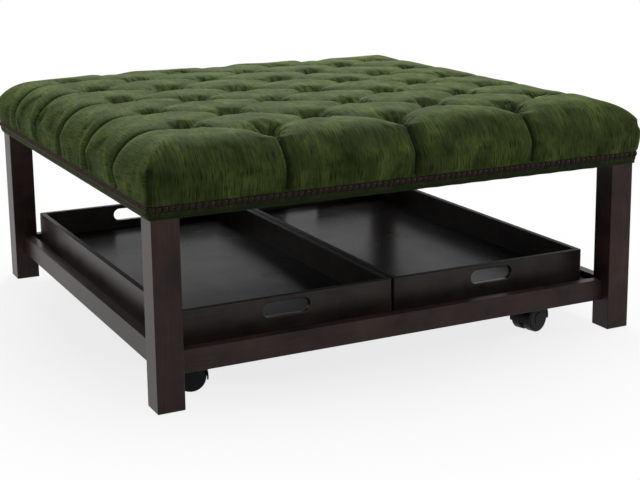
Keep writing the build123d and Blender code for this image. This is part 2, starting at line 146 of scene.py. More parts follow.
def button_creases(tree, place):
    """Sharp creases of the pile round each button, which run into it."""
    plane = node(tree, "ShaderNodeVectorMath", [(place, 0)], operation="MULTIPLY",
                 i_1=(0.5 / TUFT_X, 0.5 / TUFT_Y, 0.0))
    # the diamonds, turned into squares with a button in the middle of each
    u = node(tree, "ShaderNodeVectorMath", [(plane.outputs[0], 0)], operation="DOT_PRODUCT", i_1=(1, 1, 0))
    v = node(tree, "ShaderNodeVectorMath", [(plane.outputs[0], 0)], operation="DOT_PRODUCT", i_1=(1, -1, 0))
    squares = node(tree, "ShaderNodeCombineXYZ", [(u.outputs["Value"], 0), (v.outputs["Value"], 1)])
    cell = node(tree, "ShaderNodeVectorMath", [(squares.outputs[0], 0)], operation="FLOOR")
    within = node(tree, "ShaderNodeVectorMath", [(squares.outputs[0], 0)], operation="FRACTION")
    from_button = node(tree, "ShaderNodeVectorMath", [(within.outputs[0], 0)], operation="SUBTRACT",
                       i_1=(0.5, 0.5, 0.0))
    dx = node(tree, "ShaderNodeVectorMath", [(from_button.outputs[0], 0)], operation="DOT_PRODUCT",
              i_1=(TUFT_X, TUFT_X, 0))
    dy = node(tree, "ShaderNodeVectorMath", [(from_button.outputs[0], 0)], operation="DOT_PRODUCT",
              i_1=(TUFT_Y, -TUFT_Y, 0))
    arm = node(tree, "ShaderNodeCombineXYZ", [(dx.outputs["Value"], 0), (dy.outputs["Value"], 1)])
    length = node(tree, "ShaderNodeVectorMath", [(arm.outputs[0], 0)], operation="LENGTH")
    far = length.outputs["Value"]
    bearing = node(tree, "ShaderNodeVectorMath", [(arm.outputs[0], 0)], operation="NORMALIZE")
    # every button gets a pattern of its own, which changes slowly away from it
    own = node(tree, "ShaderNodeVectorMath", [(cell.outputs[0], 0)], operation="MULTIPLY",
               i_1=(7.3, 5.1, 0.0))
    rise = node(tree, "ShaderNodeCombineXYZ", [(far, 2)])
    slow = node(tree, "ShaderNodeVectorMath", [(rise.outputs[0], 0), (own.outputs[0], 2)],
                operation="MULTIPLY_ADD", i_1=(0.0, 0.0, CREASE_ALONG))
    spread = node(tree, "ShaderNodeVectorMath", [(bearing.outputs[0], 0), (slow.outputs[0], 2)],
                  operation="MULTIPLY_ADD", i_1=(CREASE_ROUND, CREASE_ROUND, 0.0))
    waves = node(tree, "ShaderNodeTexNoise", [(spread.outputs[0], "Vector")], i_Scale=1.0, i_Detail=0.0)
    off = node(tree, "ShaderNodeMath", [(waves.outputs["Fac"], 0)], operation="SUBTRACT", i_1=0.5)
    off_either_way = node(tree, "ShaderNodeMath", [(off.outputs[0], 0)], operation="ABSOLUTE")
    line = node(tree, "ShaderNodeMapRange", [(off_either_way.outputs[0], 0)], i_1=0.0, i_2=CREASE_THIN,
                i_3=1.0, i_4=0.0)
    inner = node(tree, "ShaderNodeMapRange", [(far, 0)], i_1=CREASE_START, i_2=CREASE_FULL)
    outer = node(tree, "ShaderNodeMapRange", [(far, 0)], i_1=CREASE_FADE, i_2=CREASE_END, i_3=1.0, i_4=0.0)
    # only where the top has buttons, not on the sides
    field = node(tree, "ShaderNodeVectorMath", [(plane.outputs[0], 0)], operation="MULTIPLY",
                 i_1=(1 / (LAST_X / 2 + CREASE_PAST), 1 / (LAST_Y / 2 + CREASE_PAST), 0.0))
    field_either_way = node(tree, "ShaderNodeVectorMath", [(field.outputs[0], 0)], operation="ABSOLUTE")
    parts = node(tree, "ShaderNodeSeparateXYZ", [(field_either_way.outputs[0], 0)])
    most = node(tree, "ShaderNodeMath", [(parts.outputs["X"], 0), (parts.outputs["Y"], 1)],
                operation="MAXIMUM")
    inside = node(tree, "ShaderNodeMath", [(most.outputs[0], 0)], operation="LESS_THAN", i_1=1.0)
    ends = node(tree, "ShaderNodeMath", [(inner.outputs[0], 0), (outer.outputs[0], 1)], operation="MULTIPLY")
    kept = node(tree, "ShaderNodeMath", [(ends.outputs[0], 0), (inside.outputs[0], 1)], operation="MULTIPLY")
    creases = node(tree, "ShaderNodeMath", [(line.outputs[0], 0), (kept.outputs[0], 1)],
                   operation="MULTIPLY")
    return creases.outputs[0]


def slub_velvet(name, use_uv=True):
    mat, tree, shader = new_material(name)
    place = node(tree, "ShaderNodeTexCoord")
    source = place.outputs["UV"] if use_uv else place.outputs["Object"]
    # sparse dark slubs, 1.6 mm across and 28 mm along
    slub_map = node(tree, "ShaderNodeMapping", [(source, "Vector")], i_Scale=(1 / 0.0016, 1 / 0.028, 40))
    slub = node(tree, "ShaderNodeTexNoise", [(slub_map.outputs[0], "Vector")], i_Scale=1.0, i_Detail=1.0)
    # ribs of the pile: 2.4 mm across, 110 mm along
    rib_map = node(tree, "ShaderNodeMapping", [(source, "Vector")], i_Scale=(1 / 0.0024, 1 / 0.110, 80))
    rib = node(tree, "ShaderNodeTexNoise", [(rib_map.outputs[0], "Vector")], i_Scale=1.0, i_Detail=2.0)
    # nap brushed in patches of 55 by 65 mm
    nap_map = node(tree, "ShaderNodeMapping", [(source, "Vector")], i_Scale=(1 / 0.055, 1 / 0.065, 12))
    nap = node(tree, "ShaderNodeTexNoise", [(nap_map.outputs[0], "Vector")], i_Scale=1.0, i_Detail=5.0,
               i_Roughness=0.62)
    base = node(tree, "ShaderNodeValToRGB", [(nap.outputs["Fac"], 0)],
                stops=[(0.33, tone("263112")), (0.5, tone("3a471e")), (0.67, tone("52612d"))])
    dark = node(tree, "ShaderNodeValToRGB", [(slub.outputs["Fac"], 0)],
                stops=[(0.30, grey(0.04)), (0.37, grey(0.40)), (0.42, grey(1.0)), (0.68, grey(1.15))])
    fine = node(tree, "ShaderNodeValToRGB", [(rib.outputs["Fac"], 0)],
                stops=[(0.36, grey(0.58)), (0.64, grey(1.26))])
    slubbed = node(tree, "ShaderNodeMix", [(base.outputs[0], 6), (dark.outputs[0], 7)], data_type="RGBA",
                   blend_type="MULTIPLY", i_0=1.0)
    ribbed = node(tree, "ShaderNodeMix", [(slubbed.outputs[2], 6), (fine.outputs[0], 7)], data_type="RGBA",
                  blend_type="MULTIPLY", i_0=0.75)
    # painted shade: the folds are darkened by how deep they lie, and the buttons all over, as they lie in the
    # shade of their pits
    deep = node(tree, "ShaderNodeMix", [(ribbed.outputs[2], 6)], data_type="RGBA", i_0=0.6,
                i_7=tone("0a1006"))
    colour = deep.outputs[2]
    height = node(tree, "ShaderNodeMath", [(slub.outputs["Fac"], 0), (rib.outputs["Fac"], 1)],
                  operation="ADD")
    bump = node(tree, "ShaderNodeBump", [(height.outputs[0], "Height")], i_Strength=0.35, i_Distance=0.0010)
    if use_uv:
        painted_fold_shade = node(tree, "ShaderNodeAttribute", attribute_name="painted_fold_shade")
        tree.links.new(painted_fold_shade.outputs["Fac"], deep.inputs[0])
        creases = button_creases(tree, place.outputs["Object"])
        # painted shade along the creases: their lines are darkened towards near black, besides the bump below
        painted_crease_shade = node(tree, "ShaderNodeMath", [(creases, 0)], operation="MULTIPLY", i_1=0.85)
        creased = node(tree, "ShaderNodeMix", [(painted_crease_shade.outputs[0], 0), (colour, 6)], data_type="RGBA",
                       i_7=tone("0d1507"))
        colour = creased.outputs[2]
        bump = node(tree, "ShaderNodeBump", [(creases, "Height"), (bump.outputs[0], "Normal")],
                    invert=True, i_Strength=0.8, i_Distance=0.004)
    tree.links.new(colour, shader.inputs["Base Color"])
    tree.links.new(bump.outputs[0], shader.inputs["Normal"])
    shader.inputs["Roughness"].default_value = 0.85
    shader.inputs["IOR"].default_value = 1.45
    shader.inputs["Specular IOR Level"].default_value = 0.15
    shader.inputs["Sheen Weight"].default_value = 0.22
    shader.inputs["Sheen Roughness"].default_value = 0.45
    shader.inputs["Sheen Tint"].default_value = tone("84a04c")
    return mat


# Beech stained espresso, sprayed with a semi-gloss lacquer: brown-black, faint red mottling along the grain

def espresso_wood(name, along, gloss=0.30, shine=0.18, relief=0.12, dark="1c1412", light="3a2823",
                  rim_z=None):
    mat, tree, shader = new_material(name)
    place = node(tree, "ShaderNodeTexCoord")
    # grain lines 2.5 mm apart, 90 mm long
    grain_scale = [1 / 0.0025] * 3
    grain_scale["XYZ".index(along)] = 1 / 0.09
    grain_map = node(tree, "ShaderNodeMapping", [(place.outputs["Object"], "Vector")],
                     i_Scale=tuple(grain_scale))
    grain = node(tree, "ShaderNodeTexNoise", [(grain_map.outputs[0], "Vector")], i_Scale=1.0, i_Detail=3.0)
    # stain that took unevenly, in clouds of 60 mm
    cloud = node(tree, "ShaderNodeTexNoise", [(place.outputs["Object"], "Vector")], i_Scale=1 / 0.06,
                 i_Detail=3.0)
    both = node(tree, "ShaderNodeMix", [(grain.outputs["Fac"], 2), (cloud.outputs["Fac"], 3)], i_0=0.72)
    stain = node(tree, "ShaderNodeValToRGB", [(both.outputs[0], 0)],
                 stops=[(0.36, tone(dark)), (0.66, tone(light))])
    colour = stain.outputs[0]
    worn = node(tree, "ShaderNodeMapRange", [(cloud.outputs["Fac"], 0)], i_3=gloss - 0.05, i_4=gloss + 0.08)
    rough = worn.outputs[0]
    if rim_z:
        # painted shade: the flat top of the rim is painted darker than the faces, and is more matt
        parts = node(tree, "ShaderNodeSeparateXYZ", [(place.outputs["Object"], "Vector")])
        edge = node(tree, "ShaderNodeMapRange", [(parts.outputs["Z"], 0)], i_1=rim_z - 0.0008,
                    i_2=rim_z - 0.0001)
        painted_rim_shade = node(tree, "ShaderNodeMix", [(edge.outputs[0], 0), (colour, 6)], data_type="RGBA",
                   i_7=tone("0c0908"))
        colour = painted_rim_shade.outputs[2]
        matt = node(tree, "ShaderNodeMix", [(edge.outputs[0], 0), (rough, 2)], i_3=0.62)
        rough = matt.outputs[0]
    tree.links.new(colour, shader.inputs["Base Color"])
    tree.links.new(rough, shader.inputs["Roughness"])
    shader.inputs["IOR"].default_value = 1.5
    shader.inputs["Specular IOR Level"].default_value = shine
    bump = node(tree, "ShaderNodeBump", [(grain.outputs["Fac"], "Height")], i_Strength=relief,
                i_Distance=0.0004)
    tree.links.new(bump.outputs[0], shader.inputs["Normal"])
    return mat


# Planed poplar, bare: pale yellow-brown with darker growth lines

def bare_timber(name, along):
    mat, tree, shader = new_material(name)
    place = node(tree, "ShaderNodeTexCoord")
    # growth lines 6 mm apart, 250 mm long
    grain_scale = [1 / 0.006] * 3
    grain_scale["XYZ".index(along)] = 1 / 0.25
    grain_map = node(tree, "ShaderNodeMapping", [(place.outputs["Object"], "Vector")],
                     i_Scale=tuple(grain_scale))
    grain = node(tree, "ShaderNodeTexNoise", [(grain_map.outputs[0], "Vector")], i_Scale=1.0, i_Detail=4.0,
                 i_Distortion=0.6)
    colour = node(tree, "ShaderNodeValToRGB", [(grain.outputs["Fac"], 0)],
                  stops=[(0.3, tone("a98458")), (0.7, tone("d3b083"))])
    tree.links.new(colour.outputs[0], shader.inputs["Base Color"])
    shader.inputs["Roughness"].default_value = 0.7
    bump = node(tree, "ShaderNodeBump", [(grain.outputs["Fac"], "Height")], i_Strength=0.2,
                i_Distance=0.0005)
    tree.links.new(bump.outputs[0], shader.inputs["Normal"])
    return mat


# Zinc-plated steel, rolled: grey, slightly mottled
zinc, tree, shader = new_material("zinc_plated_steel")
place = node(tree, "ShaderNodeTexCoord")
spangle = node(tree, "ShaderNodeTexVoronoi", [(place.outputs["Object"], "Vector")], i_Scale=1 / 0.006)
colour = node(tree, "ShaderNodeValToRGB", [(spangle.outputs["Color"], 0)],
              stops=[(0.2, tone("8d9094")), (0.9, tone("a9acb0"))])
tree.links.new(colour.outputs[0], shader.inputs["Base Color"])
shader.inputs["Metallic"].default_value = 1.0
shader.inputs["Roughness"].default_value = 0.42

# Nylon, injection moulded black: fine spark-eroded grain on the hoods and wheels
nylon, tree, shader = new_material("moulded_black_nylon")
place = node(tree, "ShaderNodeTexCoord")
grain = node(tree, "ShaderNodeTexNoise", [(place.outputs["Object"], "Vector")], i_Scale=1 / 0.0012,
             i_Detail=2.0)
colour = node(tree, "ShaderNodeValToRGB", [(grain.outputs["Fac"], 0)],
              stops=[(0.3, tone("09090a")), (0.7, tone("131315"))])
tree.links.new(colour.outputs[0], shader.inputs["Base Color"])
shader.inputs["Roughness"].default_value = 0.40
shader.inputs["Specular IOR Level"].default_value = 0.12
bump = node(tree, "ShaderNodeBump", [(grain.outputs["Fac"], "Height")], i_Strength=0.12, i_Distance=0.0003)
tree.links.new(bump.outputs[0], shader.inputs["Normal"])

# Antique bronze nailheads: dark, each a little redder or blacker than the next
bronze, tree, shader = new_material("antique_bronze")
place = node(tree, "ShaderNodeTexCoord")
patina = node(tree, "ShaderNodeTexNoise", [(place.outputs["Object"], "Vector")], i_Scale=1 / 0.011,
              i_Detail=2.0)
colour = node(tree, "ShaderNodeValToRGB", [(patina.outputs["Fac"], 0)],
              stops=[(0.35, tone("0b0807")), (0.65, tone("24130e"))])
tree.links.new(colour.outputs[0], shader.inputs["Base Color"])
shader.inputs["Metallic"].default_value = 0.85
shader.inputs["Roughness"].default_value = 0.22
shader.inputs["Specular Tint"].default_value = tone("cbbcb2")
shader.inputs["Coat Weight"].default_value = 0.10
shader.inputs["Coat Roughness"].default_value = 0.10

# Bonded-leather tape under the nails: near black, matt, finely pebbled
tape, tree, shader = new_material("dark_leather_tape")
place = node(tree, "ShaderNodeTexCoord")
pebble = node(tree, "ShaderNodeTexVoronoi", [(place.outputs["Object"], "Vector")], i_Scale=1 / 0.0016)
colour = node(tree, "ShaderNodeValToRGB", [(pebble.outputs["Distance"], 0)],
              stops=[(0.0, tone("080606")), (0.8, tone("110d0b"))])
tree.links.new(colour.outputs[0], shader.inputs["Base Color"])
shader.inputs["Roughness"].default_value = 0.7
shader.inputs["Specular IOR Level"].default_value = 0.12
bump = node(tree, "ShaderNodeBump", [(pebble.outputs["Distance"], "Height")], i_Strength=0.4,
            i_Distance=0.0004)
tree.links.new(bump.outputs[0], shader.inputs["Normal"])

# Open-cell polyurethane foam: cream, pitted
foam, tree, shader = new_material("open_cell_foam")
place = node(tree, "ShaderNodeTexCoord")
cells = node(tree, "ShaderNodeTexVoronoi", [(place.outputs["Object"], "Vector")], i_Scale=1 / 0.002)
colour = node(tree, "ShaderNodeValToRGB", [(cells.outputs["Distance"], 0)],
              stops=[(0.0, tone("b9a878")), (0.6, tone("dccd9f"))])
tree.links.new(colour.outputs[0], shader.inputs["Base Color"])
shader.inputs["Roughness"].default_value = 0.9

# Birch plywood: pale, its face veneer with long darker lines as planed timber has
plywood = bare_timber("birch_plywood", "X")

# Waxed flax twine, twisted: the ties
twine, tree, shader = new_material("waxed_twine")
place = node(tree, "ShaderNodeTexCoord")
twist = node(tree, "ShaderNodeTexWave", [(place.outputs["Object"], "Vector")], i_Scale=1 / 0.002,
             bands_direction="DIAGONAL")
colour = node(tree, "ShaderNodeValToRGB", [(twist.outputs["Color"], 0)],
              stops=[(0.2, tone("8a7a58")), (0.8, tone("b5a57f"))])
tree.links.new(colour.outputs[0], shader.inputs["Base Color"])
shader.inputs["Roughness"].default_value = 0.7

# Spun polypropylene dust cloth: black, thin, with the dot pattern of its bonding points
dust_cloth, tree, shader = new_material("spun_dust_cloth")
place = node(tree, "ShaderNodeTexCoord")
dots = node(tree, "ShaderNodeTexVoronoi", [(place.outputs["Object"], "Vector")], i_Scale=1 / 0.003,
            i_Randomness=0.0)
colour = node(tree, "ShaderNodeValToRGB", [(dots.outputs["Distance"], 0)],
              stops=[(0.2, tone("101012")), (0.5, tone("232326"))])
tree.links.new(colour.outputs[0], shader.inputs["Base Color"])
shader.inputs["Roughness"].default_value = 0.9
bump = node(tree, "ShaderNodeBump", [(dots.outputs["Distance"], "Height")], i_Strength=0.3,
            i_Distance=0.0004)
tree.links.new(bump.outputs[0], shader.inputs["Normal"])

velvet = slub_velvet("slub_velvet_pile")
# the buttons' velvet is painted darker all over: painted shade for the pits they lie in
button_velvet = slub_velvet("slub_velvet_buttons", use_uv=False)
post_wood = espresso_wood("espresso_beech_posts", "Z", shine=0.16, dark="241a18", light="45322c")
rail_wood_x = espresso_wood("espresso_beech_long_rails", "X", gloss=0.40, dark="221815", light="463430")
rail_wood_y = espresso_wood("espresso_beech_side_rails", "Y", shine=0.12, dark="1f1614", light="40302b")
# painted shade: the shelf is a darker copy of the stain, for the shade it lies in under the trays
shelf_wood = espresso_wood("espresso_beech_shelf", "X", gloss=0.36, dark="15100e", light="261c18")
tray_x = espresso_wood("espresso_tray_ends", "X", dark="25201d", light="413833", rim_z=RIM_Z)
tray_y = espresso_wood("espresso_tray_sides", "Y", dark="25201d", light="413833", rim_z=RIM_Z)
# painted shade: the tray floors are a darker copy of the stain, for the shade of the cushion and walls over
# them
tray_floor = espresso_wood("espresso_tray_floor", "Y", gloss=0.24, shine=0.038, relief=0.0,
                           dark="0b0908", light="15110f")


# What each node of the frame is made of

def set_material(names, mat):
    for name in names:
        data = nodes[name].data
        data.materials.clear()
        data.materials.append(mat)


corners = ["front_left", "front_right", "back_left", "back_right"]
set_material([f"leg_{c}" for c in corners], post_wood)
set_material(["rail_front", "rail_back"], rail_wood_x)
set_material(["rail_left", "rail_right"], rail_wood_y)
set_material(["shelf_panel"], shelf_wood)
set_material(["apron_front", "apron_back", "corner_blocks", "shelf_cleats", "rail_dowels"],
             bare_timber("poplar_lengthwise", "X"))
set_material(["apron_left", "apron_right"], bare_timber("poplar_crosswise", "Y"))
set_material(["deck_panel"], plywood)
set_material(["foam_core"], foam)
set_material(["tuft_ties"], twine)
set_material(["trim_band"], tape)
set_material(["nailheads"], bronze)
set_material(["tuft_buttons"], button_velvet)
set_material(["leg_bolts", "leg_nuts", "caster_screws", "caster_plates"], zinc)
for side in ("left", "right"):
    set_material([f"tray_{side}_front_wall", f"tray_{side}_back_wall"], tray_x)
    set_material([f"tray_{side}_left_wall", f"tray_{side}_right_wall"], tray_y)
    set_material([f"tray_{side}_base"], tray_floor)
for c in corners:
    set_material([f"caster_{c}_housing", f"caster_{c}_front_wheel", f"caster_{c}_back_wheel"], nylon)
    set_material([f"caster_{c}_axle"], zinc)


# Tufted cushion cover

# its section: crown, shoulder, an arc over the side to its foot, a fall to the band, and the hem
SHOULDER, SHOULDER_Z, CROWN_Z = 0.4398, 0.4705, 0.4785
BULGE, FOOT_Z, ARC_RISE = 0.5208, 0.412, 0.016
HEM, HEM_EDGE = 0.5158, 0.5114
TOP_STEPS, ARC_STEPS, FALL_STEPS = 40, 24, 10
# the hem rolls out under the band, then in to its edge
HEM_ROLL = [(0.0, 0.0), (0.0012, -0.0020), (0.0004, -0.006)]
HEM_TURN_IN, HEM_TURN_UP = 0.0022, 0.0035

# cells of about 4 mm, whose lines pass through every tuft and side pleat, and rings of them down the sides
CELL_X, CELL_Y = TUFT_X / 30, TUFT_Y / 20
CELLS_X, CELLS_Y = 206, 202
EDGE_X, EDGE_Y = CELL_X * CELLS_X / 2, CELL_Y * CELLS_Y / 2
EDGE = min(EDGE_X, EDGE_Y)
RINGS, RING_STEP = 46, 0.01
# past this place the lines spread towards the corners
STRAIGHT = 0.365

# a button's dimple is a bowl with a steep pit in it
BOWL_WIDE, BOWL_DEEP, BOWL_POWER = 0.060, 0.018, 1.8
PIT_START, PIT_WIDE, PIT_DEEP, PIT_POWER = 0.008, 0.018, 0.0175, 1.5
# the small folds round it: how many, how wide and long, how they end, and how deep they are pressed
FOLDS, FOLD_SWAY, FOLD_WIDE, FOLD_REACH = 7, 0.9, 0.0062, 0.052
FOLD_START, FOLD_LONG, FOLD_VARY, FOLD_IN, FOLD_OUT = 0.008, 0.030, 0.016, 0.005, 0.014
FOLD_DEEP = 0.0048
# the creases from tuft to tuft, deeper and narrower towards the tufts
SEAM_LONG, SEAM_OVER, SEAM_SWAY, SEAM_WIDE = math.hypot(TUFT_X, TUFT_Y), 0.02, 0.008, 0.036
SEAM_DEEP, SEAM_DEEPER, SEAM_POWER, SEAM_SHARPER = 0.0052, 0.013, 1.7, 1.2
# the power by which dimples and creases run smoothly into each other
MERGE = 2.5

# the side pleats: a hollow with a sharp line in it, from a little inside the last tufts down to the band
PLEAT_WIDE, PLEAT_POWER, PLEAT_DEEP = 0.034, 2.2, 0.0052
PLEAT_LINE, PLEAT_LINE_DEEP = 0.0052, 0.0085
PLEAT_BACK, PLEAT_IN, PLEAT_OUT = 0.01, 0.05, 0.006

# the corners in plan: radius at the hem and at the shoulder, and where on the way it grows
CORNER_HEM, CORNER_TOP, CORNER_FROM = 0.016, 0.066, 0.30
CORNER_Z, CORNER_GROWS, CORNER_LEAST, CORNER_CLEAR = 0.40, 0.07, 0.001, 0.0006
# how far an arc of radius 1 passes inside the corner of its square, along each side
ARC_INSIDE = 0.293
# the corner at the back left has settled a little more than the others
SETTLED, SETTLED_AT, SETTLED_WIDE, SETTLED_Z, SETTLED_IN = 0.008, 0.5, 0.25, 0.39, 0.05
# the pleat folded over at each corner, and the painted shade along its line
FLAP_FROM, FLAP_TOP, FLAP_TOP_FADE, FLAP_FOOT_FADE = 0.46, 0.446, 0.018, 0.008
FLAP_THICK, FLAP_OFF, FLAP_WIDE = 0.0035, 0.012, 0.028
FLAP_SHADE_FRONT, FLAP_SHADE_SIDE, FLAP_SHADE = 0.016, 0.006, 1.5

# uneven wadding under the cloth
WADDING, WADDING_RATE, WADDING_FADE = 0.0032, 9, 0.02
# the cover stays this clear of the aprons and the deck, and may sink more above them
FRAME_FROM, FRAME_CLEAR, ABOVE_DECK, ABOVE_SINK, ABOVE_IN = 0.5, 0.0007, DECK_TOP + 0.002, 0.03, 0.025
# side pleats lie past the first place, and the tufts' dimples and creases up to the second
SIDES_FROM, TUFTED_TO = 0.36, 0.475
# painted shade in the folds: a dimple is painted darker past the first depth and over the second, a side
# pleat over the third, and the hem from a painted shade of its own to a deeper one
FOLD_TOP_FROM, FOLD_TOP_FULL, FOLD_SIDE_FULL = 0.013, 0.020, 0.0095
HEM_SHADE, HEM_SHADE_MORE, HEM_SHADE_IN = 0.60, 0.35, 0.012

# what holds the cloth while it swells: the band, the buttons and the pleats
BAND_HOLD, TOP_Z, TOP_HALF = 0.003, 0.43, 0.47
BUTTON_HOLD, BUTTON_FADE, PLEAT_HOLD = 0.017, 0.006, 0.009
CLOTH_MASS, CLOTH_PRESSURE, CLOTH_SPARE, CLOTH_STEPS = 0.02, 4.0, -0.05, 20
# the most that a point may move, on the top and on the sides, and where the one turns into the other
CLOTH_MOST_TOP, CLOTH_MOST_SIDE, CLOTH_SIDE_FROM, CLOTH_SIDE_IN = 0.005, 0.0022, 0.46, 0.07

tufts = [(i * TUFT_X, j * TUFT_Y) for i in range(-LAST_X, LAST_X + 1) for j in range(-LAST_Y, LAST_Y + 1)
         if (i + j) % 2]
front_pleats = [x for x, y in tufts if y == LAST_Y * TUFT_Y]
side_pleats = [y for x, y in tufts if x == LAST_X * TUFT_X]
tuft_tree = kdtree.KDTree(len(tufts))
for index, (x, y) in enumerate(tufts):
    tuft_tree.insert((x, y, 0), index)
tuft_tree.balance()
seams = []
for i, a in enumerate(tufts):
    for b in tufts[i + 1:]:
        if math.isclose(math.dist(a, b), SEAM_LONG, rel_tol=0.01):
            seams.append((a, b))


def profile():
    """Points and lengths of the cover's section, from the middle of the top out and down to the hem."""
    points = []
    for i in range(TOP_STEPS + 1):
        t = i / TOP_STEPS
        points.append((SHOULDER * i / TOP_STEPS, CROWN_Z - (CROWN_Z - SHOULDER_Z) * t ** 2))
    chord = Vector((BULGE - SHOULDER, FOOT_Z - SHOULDER_Z))
    half = chord.length / 2
    radius = (half ** 2 + ARC_RISE ** 2) / (2 * ARC_RISE)
    along = chord.normalized()
    out = Vector((-along.y, along.x))
    middle = Vector((SHOULDER, SHOULDER_Z)) + chord / 2 - out * (radius - ARC_RISE)
    span = math.asin(half / radius)
    for i in range(1, ARC_STEPS + 1):
        a = -span + 2 * span * i / ARC_STEPS
        p = middle + (along * math.sin(a) + out * math.cos(a)) * radius
        points.append((p.x, p.y))
    for i in range(1, FALL_STEPS + 1):
        t = i / FALL_STEPS
        points.append((BULGE + (HEM - BULGE) * t ** 2, FOOT_Z + (BAND_HIGH - FOOT_Z) * t))
    points += [(HEM + out, BAND_LOW + up) for out, up in HEM_ROLL]
    points += [(HEM - HEM_TURN_IN, HEM_Z + HEM_TURN_UP), (HEM_EDGE, HEM_Z)]
    lengths = [0.0]
    for p, q in zip(points, points[1:]):
        lengths.append(lengths[-1] + math.dist(p, q))
    return points, lengths


section, lengths = profile()
reach = lengths[-1]
band_length = lengths[TOP_STEPS + ARC_STEPS + FALL_STEPS]


def on_section(s):
    """Radius, height and outward normal of the section at length s."""
    low = 0
    while low < len(lengths) - 2 and lengths[low + 1] < s:
        low += 1
    t = (s - lengths[low]) / (lengths[low + 1] - lengths[low])
    (r0, z0), (r1, z1) = section[low], section[low + 1]
    run = math.hypot(r1 - r0, z1 - z0)
    return r0 + (r1 - r0) * t, z0 + (z1 - z0) * t, (z0 - z1) / run, (r1 - r0) / run


def ease(t):
    t = min(max(t, 0.0), 1.0)
    return t * t * (3 - 2 * t)


def small_folds(x, y, near, far):
    """How deep a place is in one of the short sharp folds that run into its button, none like the next."""
    depth = 0.0
    bearing = math.atan2(y - near.y, x - near.x)
    for k in range(FOLDS):
        lean = noise.noise(Vector((near.x * 31 + 5 * k, near.y * 37, k)))
        away = math.remainder(bearing - (k + FOLD_SWAY * lean) * math.tau / FOLDS, math.tau) * far
        length = FOLD_LONG + FOLD_VARY * noise.noise(Vector((near.y * 29, near.x * 23 + 3 * k, k)))
        w = max(0.0, 1 - abs(away) / FOLD_WIDE)
        fades = ease((far - FOLD_START) / FOLD_IN) * ease((length + FOLD_START - far) / FOLD_OUT)
        depth = max(depth, w * fades)
    return depth


def seam_drop(x, y):
    """Depth of the creases from tuft to tuft at a place on the top."""
    drop = 0.0
    for a, b in seams:
        dx, dy = b[0] - a[0], b[1] - a[1]
        long = math.hypot(dx, dy)
        q = ((x - a[0]) * dx + (y - a[1]) * dy) / long ** 2
        if -SEAM_OVER < q < 1 + SEAM_OVER:
            # the crease wanders a little off the straight line between its tufts
            w = ((x - a[0]) * dy - (y - a[1]) * dx) / long
            w = abs(w + SEAM_SWAY * math.sin(math.pi * q) * math.sin(97 * a[0] + 61 * b[1]))
            if w < SEAM_WIDE:
                to_end = abs(2 * q - 1)
                deep = SEAM_DEEP + SEAM_DEEPER * to_end ** 2
                drop = max(drop, deep * (1 - w / SEAM_WIDE) ** (SEAM_POWER + SEAM_SHARPER * to_end))
    return drop


def drop_on_top(x, y):
    """How far the cover is pulled down at a place on the top, and how deep in a small fold the place is."""
    near, _, far = tuft_tree.find((x, y, 0))
    bowl = min(far / BOWL_WIDE, 1.0)
    pit = min(max((far - PIT_START) / PIT_WIDE, 0.0), 1.0)
    dimple = BOWL_DEEP * (1 - bowl) ** BOWL_POWER + PIT_DEEP * (1 - pit) ** PIT_POWER
    pucker = small_folds(x, y, near, far) if far < FOLD_REACH else 0.0
    return (dimple ** MERGE + seam_drop(x, y) ** MERGE) ** (1 / MERGE), pucker


def held_here(x, y, z, side):
    """How firmly buttons, pleats and nails hold the cover at a place, from 0 to 1."""
    _, _, far = tuft_tree.find((x, y, 0))
    if z < BAND_HIGH + BAND_HOLD:
        return 1.0
    if z > TOP_Z and max(abs(x), abs(y)) < TOP_HALF:
        return ease((BUTTON_HOLD - far) / BUTTON_FADE)
    return ease(side / PLEAT_HOLD)


def pleat_drop(along, places, last_tuft, s):
    """Depth of the side pleats at a place along a side; they run from the last tufts over the shoulder."""
    w = min(abs(p - along) for p in places)
    hollow = max(0.0, 1 - w / PLEAT_WIDE) ** PLEAT_POWER * PLEAT_DEEP
    line = max(0.0, 1 - w / PLEAT_LINE) * PLEAT_LINE_DEEP
    start = last_tuft - PLEAT_BACK
    return (hollow + line) * ease((s - start) / PLEAT_IN) * ease((band_length - s) / PLEAT_OUT)


def spread_to_corner(along, edge, r):
    """Spreads the last cells before a corner, so that the lines of the cells run straight down the sides."""
    if abs(along) <= STRAIGHT or r <= edge:
        return along
    share = (abs(along) - STRAIGHT) / (edge - STRAIGHT)
    return math.copysign(STRAIGHT + share * (r - STRAIGHT), along)


def round_corner(x, y, z, r, on_side, normal):
    """Place and outward normal, in plan, with the corner rounded: more at the shoulder than at the hem."""
    if on_side:
        radius = CORNER_HEM + (CORNER_TOP - CORNER_HEM) * ease((z - CORNER_Z) / CORNER_GROWS)
        radius = min(radius, (r - APRON - CORNER_CLEAR) / ARC_INSIDE)
    else:
        radius = CORNER_TOP * ease((r - CORNER_FROM) / (EDGE - CORNER_FROM))
    limit = r - radius
    if abs(x) > limit and abs(y) > limit and radius > CORNER_LEAST:
        d = Vector((abs(x) - limit, abs(y) - limit))
        normal = d.normalized()
        x = math.copysign(limit + normal.x * max(d), x)
        y = math.copysign(limit + normal.y * max(d), y)
        normal = Vector((math.copysign(normal.x, x), math.copysign(normal.y, y)))
    return x, y, normal


def corner_flap(x, y, z, front):
    """Thickness of the pleat folded over at each corner, and how much painted shade its line gets.

    The cloth of the front and the back lies on that of the sides.
    """
    w = abs(abs(x) - abs(y))
    low = ease((FLAP_TOP - z) / FLAP_TOP_FADE) * ease((z - BAND_HIGH) / FLAP_FOOT_FADE)
    flap = FLAP_THICK * max(0.0, 1 - abs(w - FLAP_OFF) / FLAP_WIDE) * low if front else 0.0
    shade_wide = FLAP_SHADE_FRONT if front else FLAP_SHADE_SIDE
    return flap, min(1.0, FLAP_SHADE * max(0.0, 1 - w / shade_wide)) * low


